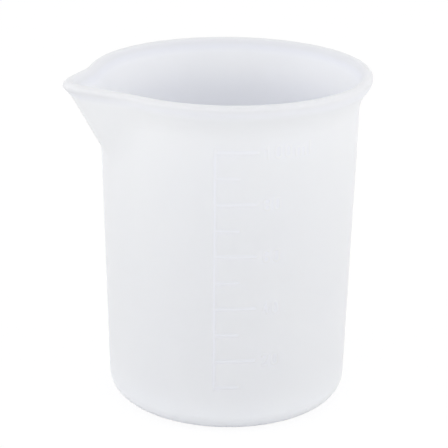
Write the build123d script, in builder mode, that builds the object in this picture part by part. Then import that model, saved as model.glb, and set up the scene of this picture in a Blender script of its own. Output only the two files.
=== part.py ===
from build123d import *
import os
from math import acos, asin, atan, cos, degrees, hypot, pi, radians, sin, tan

# A 100 ml silicone measuring beaker: one soft moulding with a flared rim, a V-shaped pouring
# spout and a raised scale. Millimetres, +Z up, origin in the middle of the base, spout towards -X.

# Driving dimensions: the cup
overall_height = 70.0
base_radius = 24.9
wall_draft = 1.5
wall_thickness = 1.8
floor_thickness = 4.3
base_corner_radius = 4.2
inner_corner_radius = 3.4

# Driving dimensions: the flared rim
flare_reach = 2.45
flare_height = 6.2
lip_flat = 0.3

# Driving dimensions: the spout
spout_projection = 6.75
spout_half_angle = 57.0
spout_side_radius = 60.0
spout_side_angle = 24.0
spout_depth = 16.2
spout_tip_radius = 2.8
spout_rise = 0.65
spout_rise_length = 13.0
spout_blend_radius = 1.2

# Driving dimensions: the raised scale
relief_height = 0.35
scale_angle = 59.5
line_width = 0.7
short_mark_length = 4.7
long_mark_length = 8.2
spine_overrun = 0.9
scale_headroom = 1.0
numeral_gap = 0.9
numeral_height = 2.9
numeral_width = 1.6
numeral_spacing = 0.5
numeral_opening = 40.0
unit_gap = 0.7
stroke_width = 0.42
step_volume = 10.0

# Room beyond the finished faces, for the solids that are trimmed or joined
trim_allowance = 2.0

# What follows from the driving dimensions
draft = radians(wall_draft)
lip_radius = (wall_thickness - lip_flat) / 2
lip_height = overall_height - wall_thickness / 2
wall_top_height = lip_height - flare_height
wall_top_radius = base_radius + wall_top_height * tan(draft)
rim_radius = wall_top_radius + flare_reach
form_height = overall_height + spout_rise + trim_allowance

# The flare is two equal arcs: one turns the wall outwards, the other turns it upright again.
flare_lean = flare_reach / flare_height
flare_angle = atan(flare_lean) + acos(
    (1 + cos(draft) + flare_lean * sin(draft)) / (2 * hypot(1, flare_lean))
)
flare_radius = flare_height / (2 * sin(flare_angle) - sin(draft))

# The crest of the rim is level, and rises along one shallow arc to the tip of the spout.
crest_radius = (spout_rise_length**2 + spout_rise**2) / (2 * spout_rise)
crest_turn = asin((spout_rise_length + trim_allowance) / crest_radius)

# The keel is the straight lower edge of the spout, from its tip down to the wall.
spout_reach = rim_radius + spout_projection
keel_height = overall_height - spout_depth
keel_foot = base_radius + keel_height * tan(draft)
keel_slope = (spout_reach - keel_foot) / spout_depth
keel_top = spout_reach + keel_slope * (form_height - overall_height)
keel_length = (form_height - keel_height + trim_allowance) * hypot(1, keel_slope)


def cup_profile(inset, bottom, corner):
    """Half section of the cup's form, set in from its outer skin."""
    wall_foot = base_radius - inset / cos(draft) + bottom * tan(draft)
    wall_top = (wall_top_radius - inset * cos(draft), wall_top_height + inset * sin(draft))
    with BuildLine() as profile:
        wall = FilletPolyline((0, bottom), (wall_foot, bottom), wall_top, radius=corner)
        out = JernArc(wall @ 1, wall % 1, flare_radius + inset, wall_draft - degrees(flare_angle))
        up = JernArc(out @ 1, out % 1, flare_radius - inset, degrees(flare_angle))
        Polyline(up @ 1, ((up @ 1).X, form_height), (0, form_height), (0, bottom))
    return profile.line


def spout_outline(inset):
    """Plan of the spout at the top of the form: a rounded tip and two slightly bowed sides."""
    with BuildLine() as outline:
        tip = JernArc((inset - keel_top, 0), (0, 1), spout_tip_radius - inset, spout_half_angle - 90)
        side = JernArc(tip @ 1, tip % 1, spout_side_radius - inset, -spout_side_angle)
        Line(side @ 1, (0, 0))
        mirror(about=Plane.XZ)
    return outline.line


def cup_form(inset, bottom, corner):
    """Solid form of the cup with its spout, set in from its outer skin."""
    with BuildPart() as form:
        with BuildSketch(Plane.XZ):
            add(cup_profile(inset, bottom, corner))
            make_face()
        revolve(axis=Axis.Z)
        with BuildSketch(Plane.XY.offset(form_height)):
            add(spout_outline(inset))
            make_face()
        extrude(amount=keel_length, dir=(keel_slope, 0, -1))
        fillet(form.edges(Select.NEW).filter_by(lambda edge: edge.is_interior), spout_blend_radius)
    return form.part


def is_crest(face):
    """Whether a face belongs to the crest, which is level or rises gently to the spout."""
    return face.center().Z > lip_height and face.normal_at().Z > cos(crest_turn)


os.makedirs("parts", exist_ok=True)

# The vessel: the outer form less the inner one, trimmed along the crest and rounded at the lip.
with BuildPart() as vessel:
    add(cup_form(0, 0, base_corner_radius))
    add(cup_form(wall_thickness, floor_thickness, inner_corner_radius), mode=Mode.SUBTRACT)
    with BuildSketch(Plane.XZ):
        with BuildLine():
            rise_start = (spout_rise_length - spout_reach, overall_height)
            rise = JernArc(rise_start, (-1, 0), crest_radius, -degrees(crest_turn))
            above = form_height + trim_allowance
            far_side = [(keel_top, above), (keel_top, overall_height)]
            Polyline(rise @ 1, ((rise @ 1).X, above), *far_side, rise_start)
        make_face()
    extrude(amount=rim_radius + trim_allowance, both=True, mode=Mode.SUBTRACT)
    crest = vessel.faces().filter_by(is_crest)
    fillet(crest.edges().filter_by(Axis.Y, reverse=True), lip_radius)
vessel.part.label = "vessel"
export_step(vessel.part, "parts/vessel.step")


def wall_radius(height):
    """Outer radius of the wall, below the flare."""
    return base_radius + height * tan(draft)


def fill_height(volume):
    """Height above the base that a volume in millilitres fills the cup to."""
    slope = tan(draft)
    floor_radius = wall_radius(floor_thickness) - wall_thickness / cos(draft)
    corner_area = inner_corner_radius**2 * (1 - pi / 4)
    corner_centroid = inner_corner_radius * (10 - 3 * pi) / (12 - 3 * pi)
    corner_volume = 2 * pi * (floor_radius - corner_centroid) * corner_area
    cone_volume = 3 * slope * (volume * 1000 + corner_volume) / pi
    return floor_thickness + ((cone_volume + floor_radius**3) ** (1 / 3) - floor_radius) / slope


def wall_turn(length, height):
    """Angle, in degrees, of a length measured round the wall at a height."""
    return degrees(length / wall_radius(height))


def raised_band(bottom, top, start, length):
    """Bar that stands on the wall from bottom to top, and runs a length round it from a start angle."""
    turn = wall_turn(length, (bottom + top) / 2)
    with BuildPart() as band:
        with BuildSketch(Plane.XZ.rotated((0, 0, 180 + start))):
            with BuildLine():
                foot = Vector(wall_radius(bottom), bottom)
                head = Vector(wall_radius(top), top)
                proud = Vector(relief_height, 0)
                Polyline(foot, foot + proud, head + proud, head, foot)
            make_face()
        revolve(axis=Axis.Z, revolution_arc=turn)
    return band.part


def draw_stroke(*lines):
    """Round-ended stroke along the lines given."""
    SlotArc(Wire(lines), stroke_width)


def draw_ring(centre, radius):
    """Round stroke that closes on itself."""
    with Locations(centre):
        Circle(radius + stroke_width / 2)
        Circle(radius - stroke_width / 2, mode=Mode.SUBTRACT)


def draw_symbol(symbol):
    """One numeral or letter, centred on the origin of the sketch."""
    right = (numeral_width - stroke_width) / 2
    top = (numeral_height - stroke_width) / 2
    upper = (0, top - right)
    lower = (0, right - top)
    if symbol == "0":
        SlotOverall(numeral_height, numeral_width, rotation=90)
        SlotOverall(
            numeral_height - 2 * stroke_width,
            numeral_width - 2 * stroke_width,
            rotation=90,
            mode=Mode.SUBTRACT,
        )
    elif symbol == "1":
        draw_stroke(Edge.make_line((0, -top), (0, top)))
        draw_stroke(Edge.make_line((0, top), (-right, top - right)))
    elif symbol == "2":
        bowl = Edge.make_circle(right, Plane(upper), -numeral_opening, 180 - numeral_opening / 2)
        draw_stroke(bowl)
        draw_stroke(Edge.make_line(bowl @ 0, (-right, -top)))
        draw_stroke(Edge.make_line((-right, -top), (right, -top)))
    elif symbol == "3":
        draw_stroke(Edge.make_circle(right, Plane(upper), -90, 180 - numeral_opening))
        draw_stroke(Edge.make_circle(right, Plane(lower), numeral_opening - 180, 90))
    elif symbol == "4":
        draw_stroke(Edge.make_line((right / 2, -top), (right / 2, top)))
        draw_stroke(Edge.make_line((right / 2, top), (-right, -right / 2)))
        draw_stroke(Edge.make_line((-right, -right / 2), (right, -right / 2)))
    elif symbol == "5":
        bowl = Edge.make_circle(right, Plane(lower), numeral_opening - 180, 180 - numeral_opening)
        draw_stroke(bowl)
        draw_stroke(Edge.make_line(bowl @ 1, (-right, top)))
        draw_stroke(Edge.make_line((-right, top), (right, top)))
    elif symbol == "6":
        draw_ring(lower, right)
        draw_stroke(Edge.make_line((-right, right - top), (-right, top - right)))
        draw_stroke(Edge.make_circle(right, Plane(upper), numeral_opening, 180))
    elif symbol == "7":
        draw_stroke(Edge.make_line((-right, top), (right, top)))
        draw_stroke(Edge.make_line((right, top), (-right / 2, -top)))
    elif symbol == "8":
        draw_ring(lower, right)
        draw_ring((0, right), top - right)
    elif symbol == "9":
        draw_ring(upper, right)
        draw_stroke(Edge.make_line((right, top - right), (right, right - top)))
        draw_stroke(Edge.make_circle(right, Plane(lower), numeral_opening - 180, 0))
    elif symbol == "m":
        arch = numeral_width / 3
        for side in (-1, 1):
            draw_stroke(Edge.make_circle(arch, Plane((side * arch, 0)), 0, 180))
        for stem in (-2 * arch, 0, 2 * arch):
            draw_stroke(Edge.make_line((stem, -top), (stem, 0)))
    elif symbol == "l":
        draw_stroke(Edge.make_line((0, -top), (0, top)))


def raised_symbol(symbol, middle, level):
    """One numeral or letter that stands on the wall, its middle at an angle and a height."""
    half_height = numeral_height / 2
    start = middle - wall_turn(numeral_width, level)
    facing = Vector(-1, 0, 0).rotate(Axis.Z, middle)
    with BuildPart() as raised:
        add(raised_band(level - half_height, level + half_height, start, 2 * numeral_width))
        with BuildSketch(Plane((0, 0, level), x_dir=Vector(0, 0, 1).cross(facing), z_dir=facing)):
            draw_symbol(symbol)
        extrude(amount=rim_radius, mode=Mode.INTERSECT)
    return raised.part


def raised_word(word, level, gap):
    """Symbols side by side beside a long mark, the first one a gap away from its end."""
    first = line_width + long_mark_length + gap + numeral_width / 2
    for place, symbol in enumerate(word):
        along = first + place * numeral_pitch
        add(raised_symbol(symbol, scale_angle + wall_turn(along, level), level))


def graduations():
    """Volumes that are marked: every step whose mark and numeral end below the flare."""
    highest = wall_top_height - scale_headroom - max(spine_overrun, numeral_height / 2)
    steps = 0
    while fill_height((steps + 1) * step_volume) <= highest:
        steps += 1
    return [step * step_volume for step in range(1, steps + 1)]


numeral_pitch = numeral_width + numeral_spacing
volumes = graduations()
labelled = volumes[1::2]

# The spine: the upright line that the marks start from.
spine_bottom = fill_height(volumes[0]) - spine_overrun
spine_top = fill_height(volumes[-1]) + spine_overrun
with BuildPart() as scale_spine:
    add(raised_band(spine_bottom, spine_top, scale_angle, line_width))
scale_spine.part.label = "scale_spine"
export_step(scale_spine.part, "parts/scale_spine.step")

# The marks: a long bar at each labelled volume and a short one half way between.
marks_angle = scale_angle + wall_turn(line_width, (spine_bottom + spine_top) / 2)
with BuildPart() as graduation_marks:
    for volume in volumes:
        level = fill_height(volume)
        length = long_mark_length if volume in labelled else short_mark_length
        add(raised_band(level - line_width / 2, level + line_width / 2, marks_angle, length))
graduation_marks.part.label = "graduation_marks"
export_step(graduation_marks.part, "parts/graduation_marks.step")

# The numerals beside the long marks.
with BuildPart() as graduation_numerals:
    for volume in labelled:
        raised_word(f"{volume:.0f}", fill_height(volume), numeral_gap)
graduation_numerals.part.label = "graduation_numerals"
export_step(graduation_numerals.part, "parts/graduation_numerals.step")

# The unit after the last numeral.
last_numeral = len(f"{labelled[-1]:.0f}") * numeral_pitch
with BuildPart() as volume_unit:
    raised_word("ml", fill_height(labelled[-1]), numeral_gap + last_numeral + unit_gap)
volume_unit.part.label = "volume_unit"
export_step(volume_unit.part, "parts/volume_unit.step")
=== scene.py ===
import math

import bpy
import numpy as np
from mathutils import Matrix, Vector


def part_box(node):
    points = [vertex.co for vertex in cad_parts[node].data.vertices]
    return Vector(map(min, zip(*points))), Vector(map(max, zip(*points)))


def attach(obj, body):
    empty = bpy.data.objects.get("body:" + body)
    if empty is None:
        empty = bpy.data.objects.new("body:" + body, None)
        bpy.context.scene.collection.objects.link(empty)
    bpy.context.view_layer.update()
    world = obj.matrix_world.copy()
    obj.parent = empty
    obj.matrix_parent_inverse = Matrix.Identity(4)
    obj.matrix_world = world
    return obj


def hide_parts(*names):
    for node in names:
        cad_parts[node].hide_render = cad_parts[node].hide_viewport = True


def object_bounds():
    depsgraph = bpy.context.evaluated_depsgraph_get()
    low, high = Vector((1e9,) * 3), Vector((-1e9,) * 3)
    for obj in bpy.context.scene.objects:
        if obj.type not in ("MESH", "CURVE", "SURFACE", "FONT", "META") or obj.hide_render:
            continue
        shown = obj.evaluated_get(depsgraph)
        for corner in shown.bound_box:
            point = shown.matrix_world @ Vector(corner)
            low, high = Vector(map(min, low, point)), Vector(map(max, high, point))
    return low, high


# A 100 ml silicone measuring beaker: one soft milky moulding with a flared lip, a V-shaped pouring
# spout and a faint raised scale. The cup is a closed skin swept round its axis, and the scale is
# made of soft beads that follow its wall. Metres, +Z up, spout towards -X, scale on the -Y side.

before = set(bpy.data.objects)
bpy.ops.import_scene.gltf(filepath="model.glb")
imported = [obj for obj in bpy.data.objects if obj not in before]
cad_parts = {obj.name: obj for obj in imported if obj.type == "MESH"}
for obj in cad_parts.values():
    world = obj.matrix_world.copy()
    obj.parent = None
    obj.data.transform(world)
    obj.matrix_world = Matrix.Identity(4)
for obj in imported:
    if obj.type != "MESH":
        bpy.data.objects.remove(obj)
cad_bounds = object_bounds()

MM = 0.001

# ---------------------------------------------------------------------------------------------
# Sizes of the cup
# ---------------------------------------------------------------------------------------------
vessel_low, vessel_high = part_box("vessel")
RIM_RADIUS = vessel_high.x

# The crest is level, but towards the spout's tip it rises to the part's full height.
SPOUT_RISE = 0.65 * MM
SPOUT_RISE_LENGTH = 13.0 * MM
CREST_HEIGHT = vessel_high.z - SPOUT_RISE

BASE_RADIUS = 24.9 * MM
WALL_DRAFT = math.radians(1.5)
WALL_THICKNESS = 1.8 * MM
FLOOR_THICKNESS = 4.3 * MM
BASE_CORNER_RADIUS = 4.2 * MM
FLOOR_CORNER_RADIUS = 3.4 * MM

# The lip is a round edge. Outside, a hollow and a swelling arc lead up to it, inside one wide arc.
LIP_RADIUS = 0.95 * MM
LIP_HEIGHT = CREST_HEIGHT - LIP_RADIUS
HOLLOW_RADIUS = 7.0 * MM
SWELL_RADIUS = 3.1 * MM
MOUTH_LEAN = math.radians(26)

# The spout: how far out and down it goes, and how far round the axis it may lie. Its tip stops short
# of the part's own, because the bead stands out from there.
SPOUT_TIP_ROOM = 0.23 * MM
SPOUT_REACH = -vessel_low.x - SPOUT_TIP_ROOM
SPOUT_DEPTH = 16.2 * MM
SPOUT_SPAN = math.radians(60)
SPOUT_BLEND = 1.4 * MM

# Its V in plan: the slope of the sides, the bow of the tip, and the bow of the sides per metre
SPOUT_SIDE_SLOPE = 0.55
SPOUT_TIP_BOW = 1.55 * MM
SPOUT_SIDE_BOW = 23.0

# The small bead along its tip, and the drop from the middle of the lip to the middle of the bead
SPOUT_BEAD = 0.57 * MM
SPOUT_BEAD_DROP = 0.22 * MM
SPOUT_BEAD_WIDTH = 1.25 * MM
SPOUT_BEAD_SPAN = math.radians(9)

# Rows and columns of the skin, and how much closer together the columns stand at the spout
COLUMNS = 360
ARC_ROWS = 14
WALL_ROWS = 36
FLOOR_RINGS = 10
CROWDING = 0.5

# The two searches: by halving, up to the steepest lean, and by Newton's rule, from a share of the reach
HALVINGS = 50
STEEPEST_LEAN = math.radians(80)
NEWTON_STEPS = 25
FIRST_GUESS = 0.7


def wall_radius(height, inset=0.0):
    """Distance from the axis to the straight wall at a height."""
    return BASE_RADIUS + height * math.tan(WALL_DRAFT) - inset / math.cos(WALL_DRAFT)


def halve(miss, low, high):
    """Where a rising function crosses zero, found by halving."""
    for _ in range(HALVINGS):
        middle = (low + high) / 2
        low, high = (middle, high) if miss(middle) < 0 else (low, middle)
    return middle


def arc_points(centre, radius, start, end, rows=ARC_ROWS):
    """Points of an arc in the (radius, height) half plane, its first point left out."""
    turns = np.linspace(start, end, rows + 1)[1:]
    return np.stack([centre[0] + radius * np.cos(turns), centre[1] + radius * np.sin(turns)], axis=1)


def foot_points(inset, bottom, corner):
    """From the middle of the base, or of the floor, round the corner to the wall."""
    centre = (wall_radius(bottom + corner, inset) - corner / math.cos(WALL_DRAFT), bottom + corner)
    rings = np.linspace(0, centre[0], FLOOR_RINGS)
    flat = np.stack([rings, np.full(FLOOR_RINGS, bottom)], axis=1)
    return np.concatenate([flat, arc_points(centre, corner, -math.pi / 2, -WALL_DRAFT)])


def wall_points(start, end):
    """Straight stretch from one point to another, its first point left out."""
    steps = np.linspace(0, 1, WALL_ROWS + 1)[1:, None]
    return start + steps * (np.array(end) - start)


def flare_height(lean):
    """Height of the outer flare's two arcs together, for their lean where they meet."""
    return HOLLOW_RADIUS * (math.sin(lean) - math.sin(WALL_DRAFT)) + SWELL_RADIUS * math.sin(lean)


def flare_miss(lean):
    """How far beyond the rim's radius the outer flare would end."""
    hollow = HOLLOW_RADIUS * (math.cos(WALL_DRAFT) - math.cos(lean))
    swell = SWELL_RADIUS * (1 - math.cos(lean))
    return wall_radius(LIP_HEIGHT - flare_height(lean)) + hollow + swell - RIM_RADIUS


FLARE_LEAN = halve(flare_miss, WALL_DRAFT, STEEPEST_LEAN)
FLARE_FOOT = LIP_HEIGHT - flare_height(FLARE_LEAN)


def outer_section():
    """Half section of the outer skin as (radius, height), from the middle of the base to the lip."""
    foot = foot_points(0, 0, BASE_CORNER_RADIUS)
    top = np.array((wall_radius(FLARE_FOOT), FLARE_FOOT))
    start, end = math.pi - WALL_DRAFT, math.pi - FLARE_LEAN
    outward = np.array((math.cos(WALL_DRAFT), -math.sin(WALL_DRAFT)))
    hollow = arc_points(top + HOLLOW_RADIUS * outward, HOLLOW_RADIUS, start, end)
    outward = np.array((math.cos(FLARE_LEAN), -math.sin(FLARE_LEAN)))
    swell = arc_points(hollow[-1] - SWELL_RADIUS * outward, SWELL_RADIUS, -FLARE_LEAN, 0)
    return np.concatenate([foot, wall_points(foot[-1], top), hollow, swell])


def lip_section():
    """The round lip, from the top of the outer flare over the crest to the mouth."""
    return arc_points((RIM_RADIUS - LIP_RADIUS, LIP_HEIGHT), LIP_RADIUS, 0, math.pi - MOUTH_LEAN)


def inner_section():
    """Half section of the inner skin, from the middle of the floor up to the lip."""
    foot = foot_points(WALL_THICKNESS, FLOOR_THICKNESS, FLOOR_CORNER_RADIUS)
    end = lip_section()[-1]
    rise = math.sin(MOUTH_LEAN) - math.sin(WALL_DRAFT)
    reach = math.cos(WALL_DRAFT) - math.cos(MOUTH_LEAN)

    def mouth_miss(radius):
        return wall_radius(end[1] - radius * rise, WALL_THICKNESS) + radius * reach - end[0]

    radius = halve(mouth_miss, 0, LIP_HEIGHT / 2)
    centre = end + radius * np.array((math.cos(MOUTH_LEAN), -math.sin(MOUTH_LEAN)))
    mouth = arc_points(centre, radius, math.pi - WALL_DRAFT, math.pi - MOUTH_LEAN, 2 * ARC_ROWS)
    top = centre + radius * np.array((-math.cos(WALL_DRAFT), math.sin(WALL_DRAFT)))
    return np.concatenate([foot, wall_points(foot[-1], top), mouth])


def spout_radius(azimuth, height, inset):
    """Distance from the axis to the spout's skin, by Newton's rule along each ray that meets it."""
    foot = wall_radius(CREST_HEIGHT - SPOUT_DEPTH)
    slope = (SPOUT_REACH - foot) / SPOUT_DEPTH
    tip = SPOUT_REACH - inset - slope * (CREST_HEIGHT - height)
    bow = SPOUT_TIP_BOW * (1 - inset / (2 * WALL_THICKNESS))
    faced = np.clip(azimuth, -SPOUT_SPAN, SPOUT_SPAN)
    along, across = np.cos(faced), np.abs(np.sin(faced))
    radius = np.full(np.broadcast(azimuth, height).shape, FIRST_GUESS * SPOUT_REACH)
    for _ in range(NEWTON_STEPS):
        side = radius * across
        edge = np.sqrt((SPOUT_SIDE_SLOPE * side) ** 2 + bow**2)
        miss = radius * along + edge - bow + SPOUT_SIDE_BOW * side**2 - tip
        rate = along + across * (SPOUT_SIDE_SLOPE**2 * side / edge + 2 * SPOUT_SIDE_BOW * side)
        radius = np.clip(radius - miss / rate, 0, 2 * SPOUT_REACH)
    return np.where(np.abs(azimuth) < SPOUT_SPAN, radius, 0.0)


def soft_max(a, b, reach):
    """The larger of two, with the corner between them rounded over a reach."""
    near = np.maximum(reach - np.abs(a - b), 0) / reach
    return np.maximum(a, b) + near**2 * reach / 4


def soft_step(share):
    """From 0 to 1 with level ends."""
    share = np.clip(share, 0, 1)
    return share**2 * (3 - 2 * share)


def column_azimuths():
    """Angles of the columns round the axis, from the spout, closer together near the spout."""
    turn = np.linspace(-1, 1, COLUMNS, endpoint=False)
    return math.pi * turn - CROWDING * np.sin(math.pi * turn)


def crest_lift(azimuth):
    """How far the crest stands above the level rim, which it leaves on the way to the spout's tip."""
    level = np.full_like(azimuth, LIP_HEIGHT)
    along = soft_max(RIM_RADIUS, spout_radius(azimuth, level, 0), SPOUT_BLEND) * np.cos(azimuth)
    start = SPOUT_REACH - SPOUT_RISE_LENGTH
    return SPOUT_RISE * (np.maximum(along - start, 0) / SPOUT_RISE_LENGTH) ** 2


def skin_grid(section, inset, azimuth, lift):
    """Radius and height of one skin at every row of its section and every column."""
    own, level = section[:, :1], section[:, 1:]
    height = level + lift * soft_step((level - FLARE_FOOT) / (LIP_HEIGHT - FLARE_FOOT))
    spout = spout_radius(azimuth, height, inset)
    radius = np.where(level > CREST_HEIGHT / 2, soft_max(own, spout, SPOUT_BLEND), own)
    if inset == 0:
        below = (LIP_HEIGHT + lift - SPOUT_BEAD_DROP - height) / SPOUT_BEAD_WIDTH
        beside = azimuth / SPOUT_BEAD_SPAN
        radius = radius + SPOUT_BEAD * np.exp(-(below**2) - beside**2)
    return radius, height


def ring_faces(rows, columns):
    """Faces of a closed skin whose first and last rows are single points."""
    ring = np.arange(columns)
    after = (ring + 1) % columns
    faces = [(0, 1 + a, 1 + b) for a, b in zip(after, ring)]
    for row in range(rows - 3):
        low, high = 1 + row * columns, 1 + (row + 1) * columns
        faces += [(low + b, low + a, high + a, high + b) for a, b in zip(after, ring)]
    top = 1 + (rows - 3) * columns
    faces += [(top + b, top + a, top + columns) for a, b in zip(after, ring)]
    return [tuple(int(i) for i in face) for face in faces]


def smooth_mesh(name, vertices, faces):
    """Mesh with smooth shading all over."""
    mesh = bpy.data.meshes.new(name)
    mesh.from_pydata([tuple(map(float, v)) for v in vertices], [], faces)
    mesh.polygons.foreach_set("use_smooth", [True] * len(mesh.polygons))
    mesh.update()
    return mesh


def add_piece(name, mesh, node):
    """Object that rides on the part's body and stands for a CAD node."""
    piece = bpy.data.objects.new(name, mesh)
    bpy.context.scene.collection.objects.link(piece)
    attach(piece, "root")
    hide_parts(node)
    return piece


def vessel_mesh():
    """Closed skin of the cup: up the outside, over the lip and down the inside."""
    azimuth = column_azimuths()
    lift = crest_lift(azimuth)
    outer, lip, inner = outer_section(), lip_section(), inner_section()
    outer_radius, outer_height = skin_grid(outer, 0, azimuth, lift)
    inner_radius, inner_height = skin_grid(inner, WALL_THICKNESS, azimuth, lift)
    across = np.linspace(0, 1, len(lip) + 1)[1:, None]
    outer_shift = outer_radius[-1] - outer[-1, 0]
    inner_shift = inner_radius[-1] - inner[-1, 0]
    lip_radius = lip[:, :1] + outer_shift + (inner_shift - outer_shift) * soft_step(across)
    radius = np.concatenate([outer_radius, lip_radius, inner_radius[-2::-1]])
    height = np.concatenate([outer_height, lip[:, 1:] + lift, inner_height[-2::-1]])
    grid = np.stack([-radius * np.cos(azimuth), -radius * np.sin(azimuth), height], axis=2)
    vertices = np.concatenate([grid[0, :1], grid[1:-1].reshape(-1, 3), grid[-1, :1]])
    return smooth_mesh("silicone_cup", vertices, ring_faces(len(grid), COLUMNS))


# ---------------------------------------------------------------------------------------------
# The raised scale: soft beads on the wall, drawn in millimetres along and up the wall
# ---------------------------------------------------------------------------------------------
SCALE_ANGLE = math.radians(59.5)
STEP_VOLUME = 10.0
MARKS = 10
LONG_EVERY = 2
LINE_WIDTH = 0.7
SHORT_MARK = 4.7
LONG_MARK = 8.2
NUMERAL_GAP = 0.9
NUMERAL_HEIGHT = 2.9
NUMERAL_WIDTH = 1.6
NUMERAL_PITCH = 2.1
UNIT_GAP = 0.7
STROKE_WIDTH = 0.46

# Turn of an open bowl's end from level, in degrees
BOWL_END = 40

# A bead's height as a share of a round one's, its points, and the skin that makes crossing beads one
FLATNESS = 0.32
BEAD_SIDES = 20
CAP_STEPS = 6
STATION_DIGITS = 6
LINE_POINTS = 9
CURVE_POINTS = 25
VOXEL = 0.07
SOFTENING = 4

MM3_PER_ML = 1000


def fill_height(volume):
    """Height, in millimetres, that a volume in millilitres fills the cup to."""
    slope = math.tan(WALL_DRAFT)
    floor_radius = wall_radius(FLOOR_THICKNESS, WALL_THICKNESS) / MM
    # What the round corner at the floor takes from a cone with a sharp one, by its centroid's path
    corner = FLOOR_CORNER_RADIUS / MM
    corner_area = corner**2 * (1 - math.pi / 4)
    corner_middle = corner * (10 - 3 * math.pi) / (12 - 3 * math.pi)
    missing = 2 * math.pi * (floor_radius - corner_middle) * corner_area
    cone = 3 * slope * (volume * MM3_PER_ML + missing) / math.pi
    return FLOOR_THICKNESS / MM + ((cone + floor_radius**3) ** (1 / 3) - floor_radius) / slope


def line(start, end):
    """Points along a straight stroke."""
    steps = np.linspace(0, 1, LINE_POINTS)[:, None]
    return np.array(start) + steps * (np.array(end, float) - np.array(start))


def curve(centre, radius, start, end):
    """Points along a curved stroke, its angles in degrees."""
    turns = np.radians(np.linspace(start, end, CURVE_POINTS))
    return np.stack([centre[0] + radius * np.cos(turns), centre[1] + radius * np.sin(turns)], axis=1)


def symbol_strokes(symbol):
    """Strokes of a numeral or letter, centred on the origin."""
    right = (NUMERAL_WIDTH - STROKE_WIDTH) / 2
    top = (NUMERAL_HEIGHT - STROKE_WIDTH) / 2
    upper, lower = (0, top - right), (0, right - top)
    arch = NUMERAL_WIDTH / 3
    bowl = curve(upper, right, -BOWL_END, 180 - BOWL_END / 2)
    shapes = {
        "0": [
            curve(upper, right, 0, 180),
            curve(lower, right, 180, 360),
            line((right, right - top), (right, top - right)),
            line((-right, right - top), (-right, top - right)),
        ],
        "1": [line((0, -top), (0, top)), line((0, top), (-right, top - right))],
        "2": [bowl, line(bowl[0], (-right, -top)), line((-right, -top), (right, -top))],
        "4": [
            line((right / 2, -top), (right / 2, top)),
            line((right / 2, top), (-right, -right / 2)),
            line((-right, -right / 2), (right, -right / 2)),
        ],
        "6": [
            curve(lower, right, 0, 360),
            line((-right, right - top), (-right, top - right)),
            curve(upper, right, BOWL_END, 180),
        ],
        "8": [curve(lower, right, 0, 360), curve((0, right), top - right, 0, 360)],
        "m": [curve((side * arch, 0), arch, 0, 180) for side in (-1, 1)]
        + [line((stem * arch, -top), (stem * arch, 0)) for stem in (-2, 0, 2)],
        "l": [line((0, -top), (0, top))],
    }
    return shapes[symbol]


def lengthened(path, reach):
    """Path with both ends carried straight on by a reach."""
    start, end = path[0] - path[1], path[-1] - path[-2]
    first = path[0] + start / np.linalg.norm(start) * reach
    last = path[-1] + end / np.linalg.norm(end) * reach
    return np.concatenate([[first], path, [last]])


def bead_stations(place, half):
    """Distances along a route at which a bead has a ring, closer together in its round ends."""
    length = place[-1]
    cap = half * (1 - np.cos(np.linspace(0, math.pi / 2, CAP_STEPS + 1)))
    between = place[(place > half) & (place < length - half)]
    return np.unique(np.round(np.concatenate([cap, between, length - cap]), STATION_DIGITS))


def bead(path, width):
    """Closed round bead along a path on the flat wall, as vertices (along, inward, up) and faces."""
    half = width / 2
    route = lengthened(path, half)
    place = np.concatenate([[0], np.cumsum(np.linalg.norm(np.diff(route, axis=0), axis=1))])
    stations = bead_stations(place, half)
    middle = np.stack([np.interp(stations, place, route[:, i]) for i in (0, 1)], axis=1)
    heading = np.gradient(middle, stations, axis=0)
    heading /= np.linalg.norm(heading, axis=1)[:, None]
    from_end = np.minimum(np.minimum(stations, place[-1] - stations) / half, 1)
    swell = np.sqrt(np.maximum(1 - (1 - from_end) ** 2, 0))[:, None]
    turn = np.linspace(0, 2 * math.pi, BEAD_SIDES, endpoint=False)
    wide = swell * half * np.cos(turn)
    inward = swell * half * np.sin(turn)
    along = middle[:, :1] - heading[:, 1:] * wide
    up = middle[:, 1:] + heading[:, :1] * wide
    rings = np.stack([along, inward, up], axis=2)
    first, last = rings[0].mean(0), rings[-1].mean(0)
    vertices = np.concatenate([[first], rings[1:-1].reshape(-1, 3), [last]])
    return vertices, [face[::-1] for face in ring_faces(len(rings), BEAD_SIDES)]


def fused(vertices, faces):
    """One closed soft skin round beads that cross."""
    rough = bpy.data.objects.new("rough", smooth_mesh("rough", vertices, faces))
    bpy.context.scene.collection.objects.link(rough)
    remesh = rough.modifiers.new("fuse", "REMESH")
    remesh.mode = "VOXEL"
    remesh.voxel_size = VOXEL
    soften = rough.modifiers.new("soften", "SMOOTH")
    soften.iterations = SOFTENING
    mesh = bpy.data.meshes.new_from_object(rough.evaluated_get(bpy.context.evaluated_depsgraph_get()))
    points = np.array([v.co for v in mesh.vertices])
    faces = [tuple(p.vertices) for p in mesh.polygons]
    bpy.data.objects.remove(rough)
    return points, faces


def scale_piece(name, node, strokes, fuse=False):
    """Piece of the scale, from strokes of (path, width) on the wall, in place of its CAD node."""
    vertices, faces = [], []
    for path, width in strokes:
        points, sides = bead(path, width)
        faces += [tuple(i + len(vertices) for i in side) for side in sides]
        vertices += list(points)
    points = np.array(vertices)
    if fuse:
        points, faces = fused(points, faces)
    along, inward, up = points.T * MM
    turn = SCALE_ANGLE + along / wall_radius(up)
    radius = wall_radius(up) - FLATNESS * inward
    wrapped = np.stack([-radius * np.cos(turn), -radius * np.sin(turn), up], axis=1)
    piece = add_piece(name, smooth_mesh(name, wrapped, faces), node)
    # The relief is one skin with the wall, so it doesn't shade it or throw light on it.
    piece.visible_shadow = False
    piece.visible_diffuse = False
    return piece


def placed(symbol, along, up):
    """Strokes of a symbol whose middle is at a place on the wall."""
    return [(path + np.array((along, up)), STROKE_WIDTH) for path in symbol_strokes(symbol)]


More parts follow.
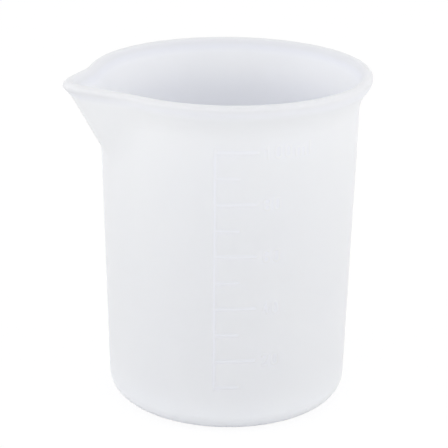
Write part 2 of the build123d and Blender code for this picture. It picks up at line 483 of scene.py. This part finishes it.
def word(symbols, start, up):
    """Strokes of symbols side by side."""
    strokes = []
    for place, symbol in enumerate(symbols):
        strokes += placed(symbol, start + NUMERAL_WIDTH / 2 + place * NUMERAL_PITCH, up)
    return strokes


def make_scale():
    """Spine, marks, numerals and unit."""
    half = LINE_WIDTH / 2
    low, high = (corner.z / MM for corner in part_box("scale_spine"))
    spine = [(line((half, low + half), (half, high - half)), LINE_WIDTH)]
    start = LINE_WIDTH + LONG_MARK + NUMERAL_GAP
    marks, numerals = [], []
    for count in range(1, MARKS + 1):
        level = fill_height(count * STEP_VOLUME)
        labelled = count % LONG_EVERY == 0
        length = LONG_MARK if labelled else SHORT_MARK
        marks.append((line((half, level), (half + length, level)), LINE_WIDTH))
        if labelled:
            label = f"{count * STEP_VOLUME:.0f}"
            numerals += word(label, start, level)
    # The unit follows the last label.
    after = start + len(label) * NUMERAL_PITCH + UNIT_GAP
    return [
        scale_piece("scale_line", "scale_spine", spine),
        scale_piece("scale_marks", "graduation_marks", marks),
        scale_piece("scale_numerals", "graduation_numerals", numerals, fuse=True),
        scale_piece("scale_unit", "volume_unit", word("ml", after, level), fuse=True),
    ]


cup = add_piece("silicone_cup", vessel_mesh(), "vessel")
scale = make_scale()


# ---------------------------------------------------------------------------------------------
# Materials
# ---------------------------------------------------------------------------------------------
SILICONE_COLOUR = (0.883, 0.900, 0.996)
SILICONE_IOR = 1.41
LIGHT_DEPTH = 4.0 * MM

# The scale's beads let no light in, so their colour is set to look like the lit milky wall's, with
# painted shade by height: darker at the foot and lighter at the top.
# Their shading is brought nearer to the wall's by the evenness.
SCALE_COLOUR = (0.863, 0.876, 0.932)
SCALE_PAINTED_SHADES = (0.935, 1.06)
SCALE_EVENNESS = 0.55

# Painted shade makes the lip a little darker. The shade comes in over a depth below the middle of its
# round edge.
LIP_PAINTED_SHADE = (0.868, 0.862, 0.810)
LIP_PAINTED_SHADE_DEPTH = 1.8 * LIP_RADIUS

# Faint clouds in the colour and the gloss, and a fine grain in the skin
CLOUD_SCALE = 60.0
CLOUD_DETAIL = 3.0
CLOUD_RANGE = (0.7, 0.3)
CLOUD_SHADE = 0.985
ROUGHNESS_RANGE = (0.42, 0.58)
GRAIN_SCALE = 1800.0
GRAIN_DETAIL = 2.0
GRAIN_DEPTH = 0.02 * MM
GRAIN_STRENGTH = 0.15


def noise(tree, place, scale, detail):
    """Noise texture in the object's own coordinates."""
    texture = tree.nodes.new("ShaderNodeTexNoise")
    texture.inputs["Scale"].default_value = scale
    texture.inputs["Detail"].default_value = detail
    tree.links.new(place.outputs["Object"], texture.inputs["Vector"])
    return texture.outputs["Fac"]


def blend(tree, share, first, second, kind="MIX"):
    """Colour between two, or between the first and its product with the second, by a share."""
    mix = tree.nodes.new("ShaderNodeMix")
    mix.data_type = "RGBA"
    mix.blend_type = kind
    tree.links.new(share, mix.inputs["Factor"])
    for socket, colour in zip(("A_Color", "B_Color"), (first, second)):
        own = next(s for s in mix.inputs if s.identifier == socket)
        if isinstance(colour, tuple):
            own.default_value = (*colour, 1)
        else:
            tree.links.new(colour, own)
    return next(s for s in mix.outputs if s.identifier == "Result_Color")


def ramp(tree, value, low, high, start=0.0, end=1.0):
    """Value brought from one range to another."""
    shift = tree.nodes.new("ShaderNodeMapRange")
    shift.inputs["From Min"].default_value = low
    shift.inputs["From Max"].default_value = high
    shift.inputs["To Min"].default_value = start
    shift.inputs["To Max"].default_value = end
    tree.links.new(value, shift.inputs["Value"])
    return shift.outputs["Result"]


def vector_math(tree, kind, first, second=None):
    """Result of an operation on a linked vector and, if given, a second one, linked or constant."""
    node = tree.nodes.new("ShaderNodeVectorMath")
    node.operation = kind
    tree.links.new(first, node.inputs[0])
    if isinstance(second, tuple):
        node.inputs[1].default_value = second
    elif second:
        tree.links.new(second, node.inputs[1])
    return node.outputs["Vector"]


def height_share(tree, place, low, high):
    """0 below one height and 1 above another."""
    split = tree.nodes.new("ShaderNodeSeparateXYZ")
    tree.links.new(place.outputs["Object"], split.inputs[0])
    return ramp(tree, split.outputs["Z"], low, high)


def scaled(colour, shade):
    """Colour times a shade."""
    return tuple(c * shade for c in colour)


def evened_normal(tree, place, evenness):
    """Direction of the skin, brought nearer to that of the plain wall by an evenness."""
    level = vector_math(tree, "MULTIPLY", place.outputs["Object"], (1, 1, 0))
    outward = vector_math(tree, "NORMALIZE", level)
    wall = vector_math(tree, "ADD", outward, (0, 0, -math.tan(WALL_DRAFT)))
    weight = 1 / evenness - 1
    own = vector_math(tree, "MULTIPLY", place.outputs["Normal"], (weight, weight, weight))
    return vector_math(tree, "NORMALIZE", vector_math(tree, "ADD", wall, own))


def silicone_material(name, colour, painted_height_shades=(1, 1), depth=0, evenness=0):
    """Milky silicone: soft light inside, satin skin, faint mottling and a fine moulded grain."""
    material = bpy.data.materials.new(name)
    material.use_nodes = True
    tree = material.node_tree
    shader = tree.nodes["Principled BSDF"]
    place = tree.nodes.new("ShaderNodeTexCoord")
    cloud = noise(tree, place, CLOUD_SCALE, CLOUD_DETAIL)
    rise = height_share(tree, place, 0, CREST_HEIGHT)
    # Painted shade by height for the scale: darker at the foot and lighter at the top. Equal shades, as
    # on the cup, paint nothing.
    base = blend(tree, rise, scaled(colour, painted_height_shades[0]), scaled(colour, painted_height_shades[1]))
    mottled = blend(tree, ramp(tree, cloud, *CLOUD_RANGE), base, (CLOUD_SHADE,) * 3, "MULTIPLY")
    # Painted shade that darkens the lip, from a depth below the middle of its round edge upwards.
    crest = height_share(tree, place, LIP_HEIGHT - LIP_PAINTED_SHADE_DEPTH, LIP_HEIGHT)
    with_painted_lip_shade = blend(tree, crest, mottled, LIP_PAINTED_SHADE, "MULTIPLY")
    tree.links.new(with_painted_lip_shade, shader.inputs["Base Color"])
    tree.links.new(ramp(tree, cloud, 0, 1, *ROUGHNESS_RANGE), shader.inputs["Roughness"])
    bump = tree.nodes.new("ShaderNodeBump")
    bump.inputs["Strength"].default_value = GRAIN_STRENGTH
    bump.inputs["Distance"].default_value = GRAIN_DEPTH
    tree.links.new(noise(tree, place, GRAIN_SCALE, GRAIN_DETAIL), bump.inputs["Height"])
    if evenness:
        tree.links.new(evened_normal(tree, place, evenness), bump.inputs["Normal"])
    tree.links.new(bump.outputs["Normal"], shader.inputs["Normal"])
    shader.inputs["IOR"].default_value = SILICONE_IOR
    if depth:
        shader.inputs["Subsurface Weight"].default_value = 1.0
        shader.inputs["Subsurface Radius"].default_value = (1.0, 1.0, 1.0)
        shader.inputs["Subsurface Scale"].default_value = depth
    return material


cup.data.materials.append(silicone_material("milky_silicone", SILICONE_COLOUR, depth=LIGHT_DEPTH))
scale_silicone = silicone_material(
    "raised_silicone", SCALE_COLOUR, SCALE_PAINTED_SHADES, evenness=SCALE_EVENNESS
)
for piece in scale:
    piece.data.materials.append(scale_silicone)


# ---------------------------------------------------------------------------------------------
# Stage, light and camera
# ---------------------------------------------------------------------------------------------
# The floor: the grey that lights the object, then the glow and the grey with the shadow that show
FLOOR_ALBEDO = 0.80
FLOOR_GLOW = 0.90
FLOOR_SHADOW = 0.12
FLOOR_SIZE = 3.0

# Strength of the world's light at the horizon and overhead
SKY_LOW = 1.17
SKY_HIGH = 0.62

# Square soft lights: azimuth to the right of the camera and elevation in degrees, and power in watts
SOFTBOXES = {
    "left_softbox": (-75, 20, 1.1),
    "right_softbox": (75, 20, 1.15),
    "front_softbox": (-20, 10, 0.45),
}
SOFTBOX_DISTANCE = 0.9
SOFTBOX_SIZE = 0.6

# The camera looks at the cup with the spout a little nearer to it than the cup's middle. Pitch, yaw
# and roll are in radians, and the field's width is a share of the distance.
VIEW_TURN = math.radians(24.0)
CAMERA_DISTANCE = 342.0 * MM
CAMERA_HEIGHT = 157.1 * MM
CAMERA_PITCH = 0.33920
CAMERA_YAW = -0.00228
CAMERA_ROLL = 0.01199
SENSOR_WIDTH = 36.0
FIELD_WIDTH = 0.25905
SHIFT = -0.0011
NEAREST = 0.01
FARTHEST = 20.0

# Camera and lights are placed as seen from the front, then turned round the cup to the camera's side.
FRONT_TO_CAMERA = Matrix.Rotation(-VIEW_TURN, 4, "Z")


def seen_directly(tree):
    """1 for the rays that show the background: camera, glossy and transmission rays."""
    path = tree.nodes.new("ShaderNodeLightPath")
    seen = path.outputs["Is Camera Ray"]
    for kind in ("Is Glossy Ray", "Is Transmission Ray"):
        either = tree.nodes.new("ShaderNodeMath")
        either.operation = "MAXIMUM"
        tree.links.new(seen, either.inputs[0])
        tree.links.new(path.outputs[kind], either.inputs[1])
        seen = either.outputs[0]
    return seen


def grey_shader(tree, kind, shade=1.0):
    """Shader of one grey shade."""
    shader = tree.nodes.new(kind)
    shader.inputs["Color"].default_value = (shade, shade, shade, 1)
    return shader


def surface_by_ray(tree, kind, lighting, shown):
    """Output that lights the object with one shader and shows another to the rays that see it."""
    out = tree.nodes.new(kind)
    mix = tree.nodes.new("ShaderNodeMixShader")
    tree.links.new(seen_directly(tree), mix.inputs["Fac"])
    tree.links.new(lighting.outputs[0], mix.inputs[1])
    tree.links.new(shown.outputs[0], mix.inputs[2])
    tree.links.new(mix.outputs[0], out.inputs["Surface"])


def floor_material():
    """Pale floor: it bounces light like paper, and shows white with the object's faint shadow."""
    material = bpy.data.materials.new("pale_floor")
    material.use_nodes = True
    tree = material.node_tree
    tree.nodes.clear()
    paper = grey_shader(tree, "ShaderNodeBsdfDiffuse", FLOOR_ALBEDO)
    faint = grey_shader(tree, "ShaderNodeBsdfDiffuse", FLOOR_SHADOW)
    glow = grey_shader(tree, "ShaderNodeEmission")
    glow.inputs["Strength"].default_value = FLOOR_GLOW
    shown = tree.nodes.new("ShaderNodeAddShader")
    tree.links.new(faint.outputs[0], shown.inputs[0])
    tree.links.new(glow.outputs[0], shown.inputs[1])
    surface_by_ray(tree, "ShaderNodeOutputMaterial", paper, shown)
    return material


def make_floor():
    """Square floor at the height that the part stands on."""
    half = FLOOR_SIZE / 2
    corners = [(-half, -half), (half, -half), (half, half), (-half, half)]
    mesh = bpy.data.meshes.new("floor")
    mesh.from_pydata([(x, y, cad_bounds[0].z) for x, y in corners], [], [(0, 1, 2, 3)])
    mesh.materials.append(floor_material())
    floor = bpy.data.objects.new("floor", mesh)
    bpy.context.scene.collection.objects.link(floor)


def make_world():
    """Soft studio light, stronger from the sides than from above, that shows as white."""
    world = bpy.data.worlds.new("studio")
    bpy.context.scene.world = world
    world.use_nodes = True
    tree = world.node_tree
    tree.nodes.clear()
    place = tree.nodes.new("ShaderNodeTexCoord")
    split = tree.nodes.new("ShaderNodeSeparateXYZ")
    tree.links.new(place.outputs["Generated"], split.inputs[0])
    studio = grey_shader(tree, "ShaderNodeBackground")
    strength = ramp(tree, split.outputs["Z"], 0, 1, SKY_LOW, SKY_HIGH)
    tree.links.new(strength, studio.inputs["Strength"])
    white = grey_shader(tree, "ShaderNodeBackground")
    surface_by_ray(tree, "ShaderNodeOutputWorld", studio, white)


def make_camera():
    """Camera at the fitted place, tilted down and rolled a little."""
    camera = bpy.data.objects.new("camera", bpy.data.cameras.new("camera"))
    bpy.context.scene.collection.objects.link(camera)
    camera.data.sensor_width = SENSOR_WIDTH
    camera.data.lens = SENSOR_WIDTH / FIELD_WIDTH
    camera.data.shift_x = SHIFT
    camera.data.clip_start = NEAREST
    camera.data.clip_end = FARTHEST
    place = Matrix.Translation((0, -CAMERA_DISTANCE, CAMERA_HEIGHT))
    turn = Matrix.Rotation(-CAMERA_YAW, 4, "Z") @ Matrix.Rotation(math.pi / 2 - CAMERA_PITCH, 4, "X")
    roll = Matrix.Rotation(CAMERA_ROLL, 4, "Z")
    camera.matrix_world = FRONT_TO_CAMERA @ place @ turn @ roll
    bpy.context.scene.camera = camera


def make_softbox(name, azimuth, elevation, power):
    """Square soft light that faces the object, its azimuth counted to the right from the camera."""
    lamp = bpy.data.lights.new(name, "AREA")
    lamp.size = SOFTBOX_SIZE
    lamp.energy = power
    light = bpy.data.objects.new(name, lamp)
    bpy.context.scene.collection.objects.link(light)
    a, e = math.radians(azimuth), math.radians(elevation)
    away = Vector((math.sin(a) * math.cos(e), -math.cos(a) * math.cos(e), math.sin(e)))
    aim = away.to_track_quat("Z", "Y").to_matrix().to_4x4()
    light.matrix_world = FRONT_TO_CAMERA @ Matrix.Translation(away * SOFTBOX_DISTANCE) @ aim


make_floor()
make_world()
make_camera()
for name, (azimuth, elevation, power) in SOFTBOXES.items():
    make_softbox(name, azimuth, elevation, power)
bpy.context.scene.view_settings.view_transform = "Standard"
